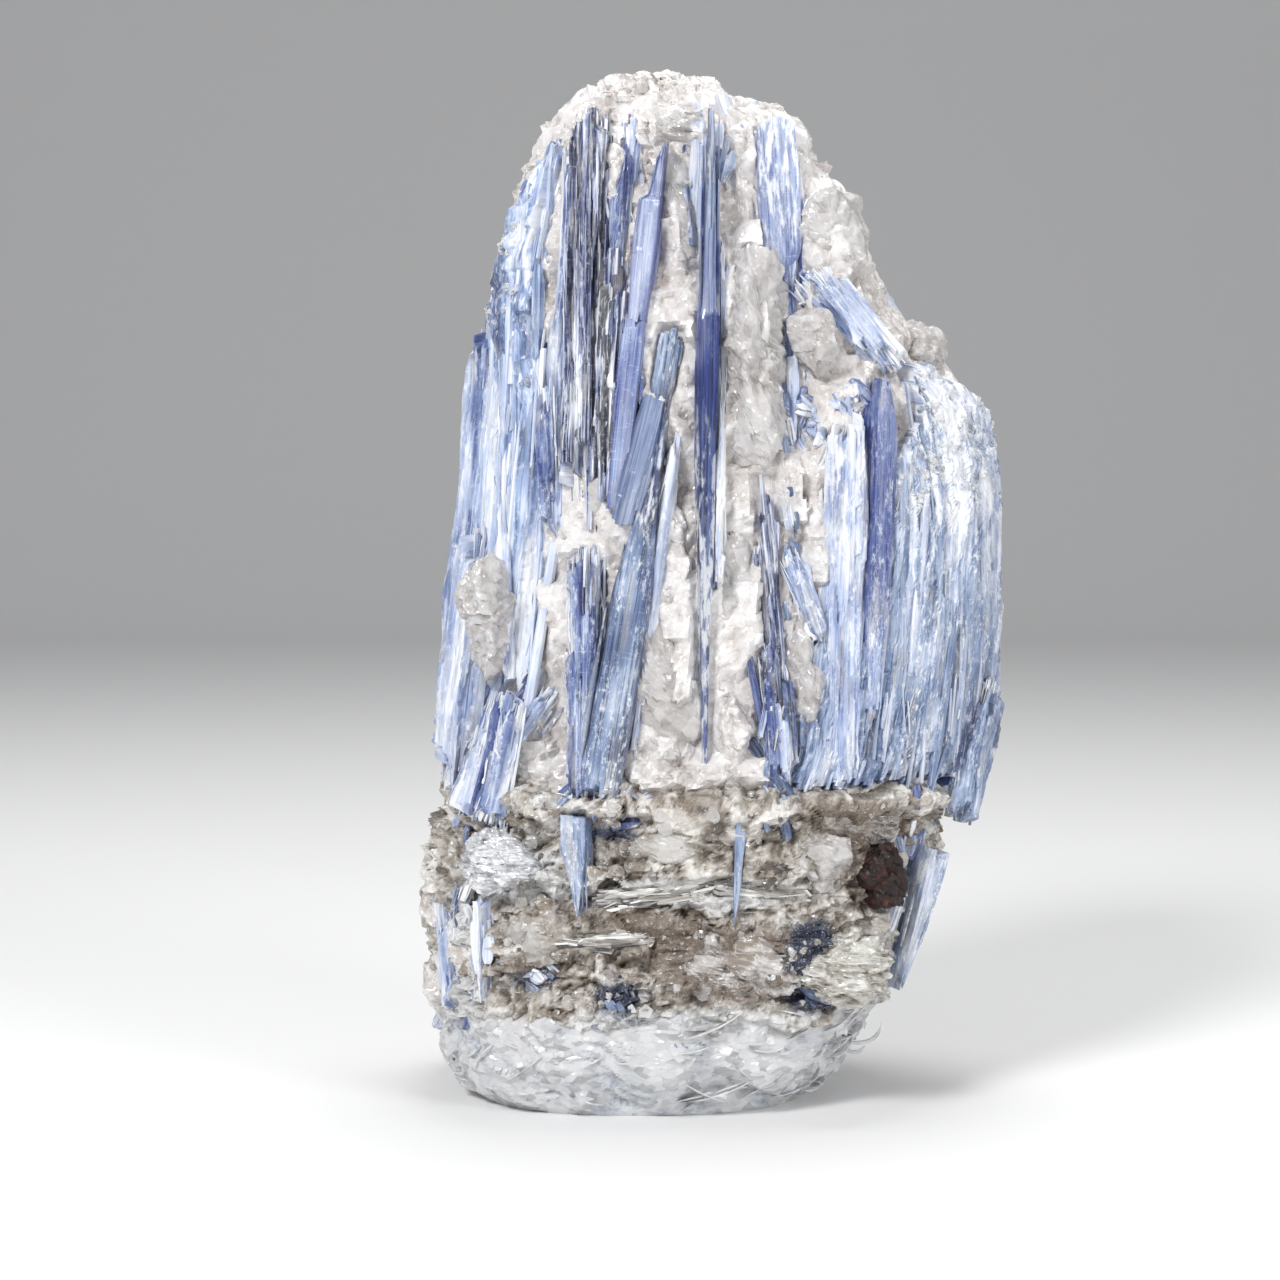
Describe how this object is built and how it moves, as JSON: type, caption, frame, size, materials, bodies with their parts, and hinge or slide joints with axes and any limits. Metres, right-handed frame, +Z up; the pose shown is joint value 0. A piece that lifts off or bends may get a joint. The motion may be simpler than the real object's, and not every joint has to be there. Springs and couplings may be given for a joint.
{
  "type": "kyanite blade cluster",
  "caption": "Natural mineral specimen: blue and white kyanite blades and sheaves grown through quartz, standing on a mica schist foot with a flat flaky base.",
  "frame": {"origin": "middle of the cluster's box, at the level of the flat base it rests on", "axes": "+Z up along the blades, -Y towards the show face with the long central blade, +X to the right of that face"},
  "size_m": [0.0606, 0.0412, 0.105],
  "materials": {
    "quartz": "massive quartz, glassy to greasy, translucent warm grey-white",
    "schist": "granular quartz and mica schist, rough, beige-grey with silver glints",
    "mica": "muscovite books and flakes, pearly to silvery, icy clear at the edges",
    "garnet": "weathered garnet, dark red-brown, rusty, half dull",
    "blue_kyanite": "deep blue kyanite, glassy, translucent, finely striated along its length",
    "dark_kyanite": "steel blue kyanite, silky, striated, with near-black grooves",
    "pale_kyanite": "pale blue to white fibrous kyanite, silky, powdery glitter on the ridges"
  },
  "bodies": {
    "root": {"quartz_body": "quartz", "centre_quartz_lump": "quartz", "upper_right_quartz": "quartz", "left_quartz_lump": "quartz", "shoulder_quartz": "quartz", "schist_foot": "schist", "mica_base": "mica", "silver_mica_book": "mica", "layered_mica_book": "mica", "garnet": "garnet", "central_blade": "blue_kyanite", "pointed_blade": "blue_kyanite", "pointed_blade_root": "blue_kyanite", "deep_blue_blade": "blue_kyanite", "slim_top_blades": "blue_kyanite", "back_long_blade": "blue_kyanite", "back_right_sheaf": "blue_kyanite", "steel_stub_blade": "dark_kyanite", "wide_blade": "dark_kyanite", "right_foot_blade": "dark_kyanite", "foot_stub_blade": "dark_kyanite", "dark_bundle": "dark_kyanite", "middle_dark_laths": "dark_kyanite", "back_cross_blade": "dark_kyanite", "pale_middle_blade": "pale_kyanite", "upper_right_blade": "pale_kyanite", "upper_centre_lath": "pale_kyanite", "foot_thin_blade": "pale_kyanite", "foot_slip_blade": "pale_kyanite", "left_sheaf": "pale_kyanite", "inner_left_laths": "pale_kyanite", "lower_left_fan": "pale_kyanite", "left_edge_blades": "pale_kyanite", "diagonal_laths": "pale_kyanite", "white_sheaf": "pale_kyanite", "right_sheaf": "pale_kyanite", "right_edge_blades": "pale_kyanite", "lower_right_blades": "pale_kyanite", "back_left_sheaf": "pale_kyanite"}
  },
  "joints": []
}
